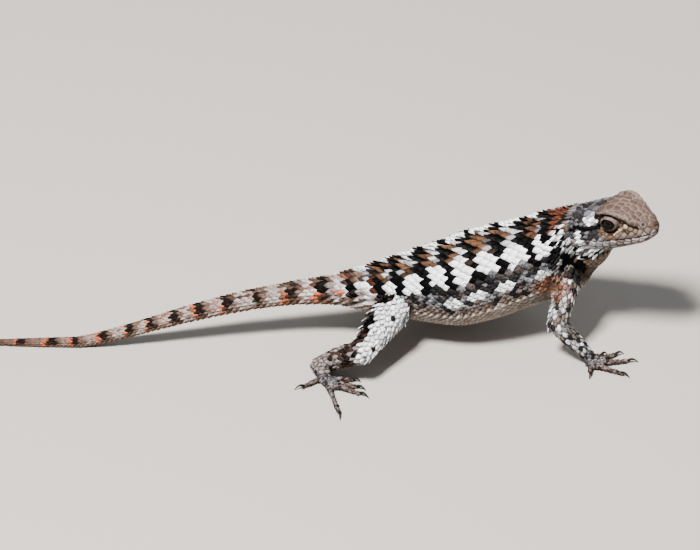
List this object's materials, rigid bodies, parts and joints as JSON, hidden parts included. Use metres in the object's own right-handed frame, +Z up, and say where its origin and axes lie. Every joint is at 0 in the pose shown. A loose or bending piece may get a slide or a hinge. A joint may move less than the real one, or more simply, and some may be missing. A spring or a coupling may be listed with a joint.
{
  "type": "texas spiny lizard",
  "caption": "Life-size still model of a Texas spiny lizard standing alert on the ground, head raised and turned to its right, long tail trailing.",
  "frame": {"origin": "middle of the bounding box at floor level, under the hips and belly", "axes": "+X from tail to snout, +Y to the animal's left, +Z up"},
  "size_m": [0.2382, 0.0968, 0.0528],
  "materials": {
    "body_skin": "keeled scales in white, black, rust and grey",
    "head_skin": "smooth plates in grey brown and tan",
    "tail_skin": "whorls of keeled scales, banded rust, grey and black",
    "limb_skin": "silver white keeled scales with dark edges",
    "eye": "wet and glossy"
  },
  "bodies": {
    "root": {"head": "head_skin", "lower_jaw": "head_skin", "right_eye": "eye", "left_eye": "eye", "neck": "body_skin", "torso": "body_skin", "tail_base": "tail_skin", "tail_middle": "tail_skin", "tail_tip": "tail_skin", "right_upper_arm": "limb_skin", "right_forearm": "limb_skin", "right_hand": "limb_skin", "left_upper_arm": "limb_skin", "left_forearm": "limb_skin", "left_hand": "limb_skin", "right_thigh": "limb_skin", "right_shank": "limb_skin", "right_foot": "limb_skin", "left_thigh": "limb_skin", "left_shank": "limb_skin", "left_foot": "limb_skin"}
  },
  "joints": []
}
